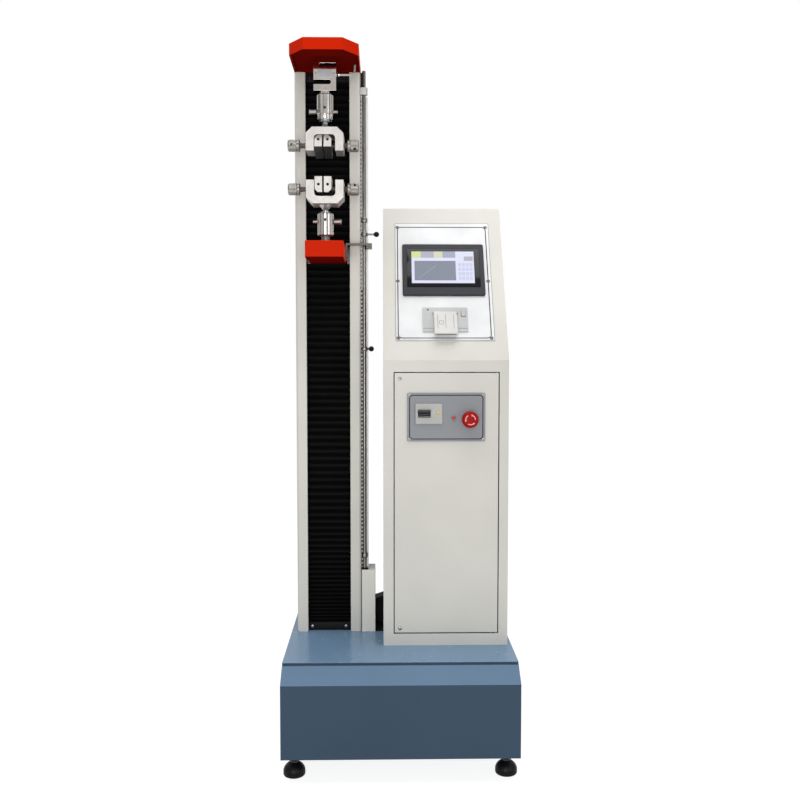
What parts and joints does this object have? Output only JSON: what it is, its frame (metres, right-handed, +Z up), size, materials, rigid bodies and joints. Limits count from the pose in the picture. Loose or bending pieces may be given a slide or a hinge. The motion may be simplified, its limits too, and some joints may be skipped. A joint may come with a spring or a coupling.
{
  "type": "universal testing machine",
  "caption": "Single-column tensile tester with a screw-driven crosshead, screw vice grips, load cell, limit rod and a control cabinet with a slanted touch panel and door.",
  "frame": {"origin": "on the floor under the middle of the base", "axes": "+Z up, -Y to the operator, +X to the cabinet's side"},
  "size_m": [0.532, 0.58, 1.657],
  "materials": {
    "base_paint": "hammered satin",
    "cream_paint": "powder coat",
    "orange_paint": "gloss enamel",
    "machined_steel": "turned and brushed",
    "hardened_steel": "serrated, hardened",
    "rule_aluminium": "satin",
    "panel_aluminium": "fine satin",
    "grey_paint": "satin",
    "pleat_black": "coated cloth, pleated",
    "rubber_black": "moulded",
    "belt_black": "moulded",
    "black_plastic": "fine grain",
    "bezel_plastic": "fine grain",
    "grey_plastic": "fine grain",
    "ivory_plastic": "fine grain",
    "screen": "smooth",
    "yellow_plastic": "moulded",
    "red_plastic": "moulded",
    "stem_plastic": "moulded"
  },
  "bodies": {
    "frame": {"base_housing": "base_paint", "base_top_plate": "base_paint", "column_profile": "cream_paint", "head_beam": "orange_paint", "cap_cover": "orange_paint", "column_guides": "machined_steel", "upper_guard": "pleat_black", "lower_guard": "pleat_black", "scale_rule": "rule_aluminium", "rod_guide": "machined_steel", "switch_box": "cream_paint", "servo_motor": "black_plastic", "timing_belt": "belt_black", "load_cell": "machined_steel", "load_cell_lead": "belt_black", "upper_coupling": "machined_steel", "upper_yoke": "machined_steel", "cabinet_shell": "cream_paint", "control_panel": "panel_aluminium", "screen_housing": "bezel_plastic", "screen_glass": "screen", "printer_frame": "grey_plastic", "drive_electronics": "black_plastic", "cable_fittings": "black_plastic"},
    "crosshead": {"crosshead_arm": "orange_paint", "crosshead_carriage": "machined_steel", "guide_blocks_and_nut": "machined_steel", "striker_arm": "machined_steel", "lower_coupling": "machined_steel", "lower_yoke": "machined_steel"},
    "door": {"cabinet_door": "cream_paint", "power_panel": "grey_paint", "circuit_breaker": "ivory_plastic", "indicator_lamp": "red_plastic", "stop_button_base": "black_plastic"},
    "ball_screw": {"ball_screw": "machined_steel"},
    "motor_pulley": {"motor_pulley": "rule_aluminium"},
    "upper_cross_pin": {"upper_cross_pin": "machined_steel"},
    "lower_cross_pin": {"lower_cross_pin": "machined_steel"},
    "limit_rod": {"limit_rod": "machined_steel"},
    "upper_stop": {"upper_stop": "black_plastic"},
    "lower_stop": {"lower_stop": "black_plastic"},
    "printer_cover": {"printer_cover": "ivory_plastic"},
    "printer_feed_button": {"printer_feed_button": "grey_plastic"},
    "breaker_toggle": {"breaker_toggle": "black_plastic"},
    "breaker_test_button": {"breaker_test_button": "yellow_plastic"},
    "stop_button_stem": {"stop_button_stem": "stem_plastic"},
    "stop_button_head": {"stop_button_head": "red_plastic"},
    "upper_left_jaw": {"upper_left_jaw": "hardened_steel"},
    "upper_left_clamp": {"upper_left_clamp": "machined_steel"},
    "upper_right_jaw": {"upper_right_jaw": "hardened_steel"},
    "upper_right_clamp": {"upper_right_clamp": "machined_steel"},
    "lower_left_jaw": {"lower_left_jaw": "hardened_steel"},
    "lower_left_clamp": {"lower_left_clamp": "machined_steel"},
    "lower_right_jaw": {"lower_right_jaw": "hardened_steel"},
    "lower_right_clamp": {"lower_right_clamp": "machined_steel"},
    "front_left_foot": {"front_left_foot": "rubber_black"},
    "front_right_foot": {"front_right_foot": "rubber_black"},
    "rear_left_foot": {"rear_left_foot": "rubber_black"},
    "rear_right_foot": {"rear_right_foot": "rubber_black"}
  },
  "joints": [
    {"name": "crosshead_travel", "type": "slide", "parent": "frame", "child": "crosshead", "axis": [0, 0, 1], "range_m": [-0.235, 0.015], "deforming": ["upper_guard", "lower_guard"]},
    {"name": "screw_spin", "type": "hinge", "parent": "frame", "child": "ball_screw", "pos_m": [-0.172, 0.048, 0.9], "axis": [0, 0, 1], "range_deg": [-550, 8470]},
    {"name": "motor_spin", "type": "hinge", "parent": "frame", "child": "motor_pulley", "pos_m": [-0.02, 0.048, 0.235], "axis": [0, 0, 1], "range_deg": [-874, 13546]},
    {"name": "upper_pin_pull", "type": "slide", "parent": "frame", "child": "upper_cross_pin", "axis": [-1, 0, 0], "range_m": [0, 0.045]},
    {"name": "lower_pin_pull", "type": "slide", "parent": "crosshead", "child": "lower_cross_pin", "axis": [1, 0, 0], "range_m": [0, 0.045]},
    {"name": "upper_left_jaw_slide", "type": "slide", "parent": "frame", "child": "upper_left_jaw", "axis": [1, 0, 0], "range_m": [-0.0009, 0.0016]},
    {"name": "upper_left_clamp_turn", "type": "hinge", "parent": "upper_left_jaw", "child": "upper_left_clamp", "pos_m": [-0.1953, -0.106, 1.4365], "axis": [1, 0, 0], "range_deg": [-118, 203]},
    {"name": "upper_right_jaw_slide", "type": "slide", "parent": "frame", "child": "upper_right_jaw", "axis": [-1, 0, 0], "range_m": [-0.0085, 0.0016]},
    {"name": "upper_right_clamp_turn", "type": "hinge", "parent": "upper_right_jaw", "child": "upper_right_clamp", "pos_m": [-0.1567, -0.106, 1.4365], "axis": [-1, 0, 0], "range_deg": [-1031, 203]},
    {"name": "lower_left_jaw_slide", "type": "slide", "parent": "crosshead", "child": "lower_left_jaw", "axis": [1, 0, 0], "range_m": [-0.0009, 0.0016]},
    {"name": "lower_left_clamp_turn", "type": "hinge", "parent": "lower_left_jaw", "child": "lower_left_clamp", "pos_m": [-0.1953, -0.106, 1.3365], "axis": [1, 0, 0], "range_deg": [-118, 203]},
    {"name": "lower_right_jaw_slide", "type": "slide", "parent": "crosshead", "child": "lower_right_jaw", "axis": [-1, 0, 0], "range_m": [-0.0085, 0.0016]},
    {"name": "lower_right_clamp_turn", "type": "hinge", "parent": "lower_right_jaw", "child": "lower_right_clamp", "pos_m": [-0.1567, -0.106, 1.3365], "axis": [-1, 0, 0], "range_deg": [-1031, 203]},
    {"name": "limit_rod_lift", "type": "slide", "parent": "frame", "child": "limit_rod", "axis": [0, 0, 1], "range_m": [-0.006, 0.006], "stiffness_N_per_m": 3000, "springref_m": 0.0023},
    {"name": "upper_stop_set", "type": "slide", "parent": "limit_rod", "child": "upper_stop", "axis": [0, 0, 1], "range_m": [0, 0.021]},
    {"name": "lower_stop_set", "type": "slide", "parent": "limit_rod", "child": "lower_stop", "axis": [0, 0, 1], "range_m": [-0.49, 0]},
    {"name": "door_swing", "type": "hinge", "parent": "frame", "child": "door", "pos_m": [0.2285, -0.125, 0.6], "axis": [0, 0, 1], "range_deg": [0, 100]},
    {"name": "breaker_toggle_flip", "type": "hinge", "parent": "door", "child": "breaker_toggle", "pos_m": [0.0575, -0.13, 0.815], "axis": [1, 0, 0], "range_deg": [0, 56]},
    {"name": "test_button_press", "type": "slide", "parent": "door", "child": "breaker_test_button", "axis": [0, 1, 0], "range_m": [0, 0.0015], "stiffness_N_per_m": 200},
    {"name": "stop_button_press", "type": "slide", "parent": "door", "child": "stop_button_stem", "axis": [0, 1, 0], "range_m": [0, 0.005]},
    {"name": "stop_button_twist", "type": "hinge", "parent": "stop_button_stem", "child": "stop_button_head", "pos_m": [0.1632, -0.155, 0.8028], "axis": [0, 1, 0], "range_deg": [0, 45], "stiffness_Nm_per_rad": 0.05},
    {"name": "printer_cover_open", "type": "hinge", "parent": "frame", "child": "printer_cover", "pos_m": [0.1095, -0.07475, 1.05311], "axis": [-1, 0, 0], "range_deg": [0, 80]},
    {"name": "feed_button_press", "type": "slide", "parent": "frame", "child": "printer_feed_button", "axis": [0, 0.8748, -0.4846], "range_m": [0, 0.001], "stiffness_N_per_m": 300},
    {"name": "front_left_foot_height", "type": "slide", "parent": "frame", "child": "front_left_foot", "axis": [0, 0, 1], "range_m": [-0.01, 0.01]},
    {"name": "front_right_foot_height", "type": "slide", "parent": "frame", "child": "front_right_foot", "axis": [0, 0, 1], "range_m": [-0.01, 0.01]},
    {"name": "rear_left_foot_height", "type": "slide", "parent": "frame", "child": "rear_left_foot", "axis": [0, 0, 1], "range_m": [-0.01, 0.01]},
    {"name": "rear_right_foot_height", "type": "slide", "parent": "frame", "child": "rear_right_foot", "axis": [0, 0, 1], "range_m": [-0.01, 0.01]}
  ],
  "couplings": [
    {"joint": "screw_spin", "follows": "crosshead_travel", "rad_per_m": -628.32},
    {"joint": "motor_spin", "follows": "crosshead_travel", "rad_per_m": -1005.3},
    {"joint": "upper_left_clamp_turn", "follows": "upper_left_jaw_slide", "rad_per_m": 2094.4},
    {"joint": "upper_right_clamp_turn", "follows": "upper_right_jaw_slide", "rad_per_m": 2094.4},
    {"joint": "lower_left_clamp_turn", "follows": "lower_left_jaw_slide", "rad_per_m": 2094.4},
    {"joint": "lower_right_clamp_turn", "follows": "lower_right_jaw_slide", "rad_per_m": 2094.4}
  ]
}
